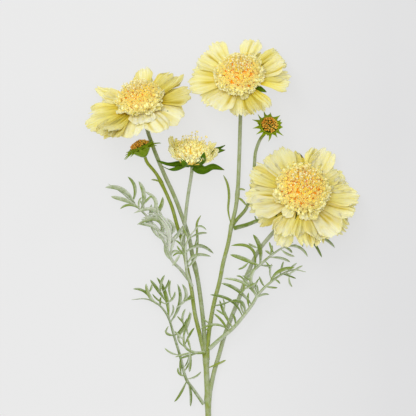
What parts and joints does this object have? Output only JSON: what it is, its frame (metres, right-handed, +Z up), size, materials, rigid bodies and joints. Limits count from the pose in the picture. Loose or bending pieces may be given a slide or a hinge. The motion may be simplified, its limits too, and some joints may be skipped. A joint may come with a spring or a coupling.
{
  "type": "scabiosa flower",
  "caption": "Cut branching spray of pale yellow pincushion flowers lying flat: open flowers, one half open, green buds and finely divided leaves on slender stalks.",
  "frame": {"origin": "middle of the bottom of the bounding box, on the surface that the spray lies on", "axes": "+Y from the cut end of the stem to the flowers, +Z up from the surface, +X to the right for someone who looks down with the flowers away from them"},
  "size_m": [0.1932, 0.2987, 0.0542],
  "materials": {
    "stem_green": "matt",
    "leaf_green": "matt",
    "bract_green": "matt",
    "petal_yellow": "matt",
    "disc_gold": "matt",
    "bud_gold": "matt"
  },
  "bodies": {
    "root": {"stem": "stem_green", "leaf_upper_left": "leaf_green", "leaf_upper_middle": "leaf_green", "leaf_lower_left": "leaf_green", "leaf_middle_left": "leaf_green", "leaf_lower_right": "leaf_green", "leaf_upper_right": "leaf_green", "leaf_behind_flower": "leaf_green", "left_flower_bracts": "bract_green", "left_flower_petals": "petal_yellow", "left_flower_disc": "disc_gold", "top_flower_bracts": "bract_green", "top_flower_petals": "petal_yellow", "top_flower_disc": "disc_gold", "right_flower_bracts": "bract_green", "right_flower_petals": "petal_yellow", "right_flower_disc": "disc_gold", "half_open_flower_bracts": "bract_green", "half_open_flower_florets": "petal_yellow", "left_bud_calyx": "bract_green", "left_bud_button": "bud_gold", "right_bud_calyx": "bract_green", "right_bud_button": "bud_gold"}
  },
  "joints": []
}
